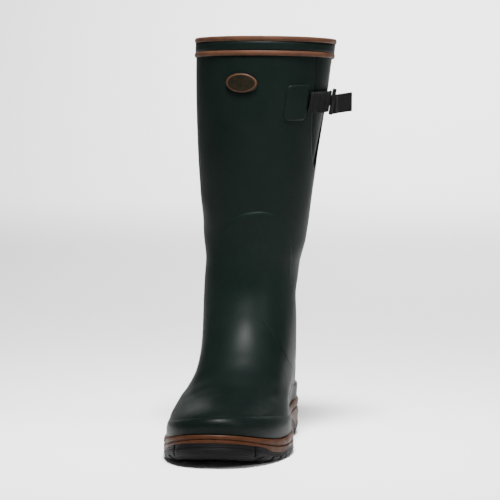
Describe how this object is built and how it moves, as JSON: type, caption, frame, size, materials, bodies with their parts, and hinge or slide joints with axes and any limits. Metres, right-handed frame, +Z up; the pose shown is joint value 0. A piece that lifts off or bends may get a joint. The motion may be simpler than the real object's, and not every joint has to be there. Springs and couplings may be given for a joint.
{
  "type": "rubber boot",
  "caption": "Knee-high rubber field boot for the left foot: one hollow shaft and foot on a lugged sole, with a slit, gusset and buckled strap at the collar.",
  "frame": {"origin": "on the floor, under the middle of the heel", "axes": "+Z up along the shaft, -Y towards the toe, +X towards the outer side of the left foot"},
  "size_m": [0.1703, 0.3121, 0.399],
  "materials": {
    "green_rubber": "satin",
    "brown_rubber": "satin",
    "black_rubber": "matte",
    "olive_rubber": "satin",
    "black_webbing": "woven",
    "black_plastic": "matte",
    "sock_lining": "woven"
  },
  "bodies": {
    "root": {"outsole": "black_rubber", "midsole": "brown_rubber", "insole": "sock_lining", "upper": "green_rubber", "toe_rand": "green_rubber", "heel_counter": "green_rubber", "ankle_saddle": "green_rubber", "collar_trim_upper": "brown_rubber", "collar_band": "green_rubber", "collar_trim_lower": "brown_rubber", "gusset": "green_rubber", "strap_tab_front": "green_rubber", "strap_tab_rear": "green_rubber", "strap": "black_webbing", "buckle": "black_plastic", "strap_tail": "black_webbing", "badge": "olive_rubber"}
  },
  "joints": []
}
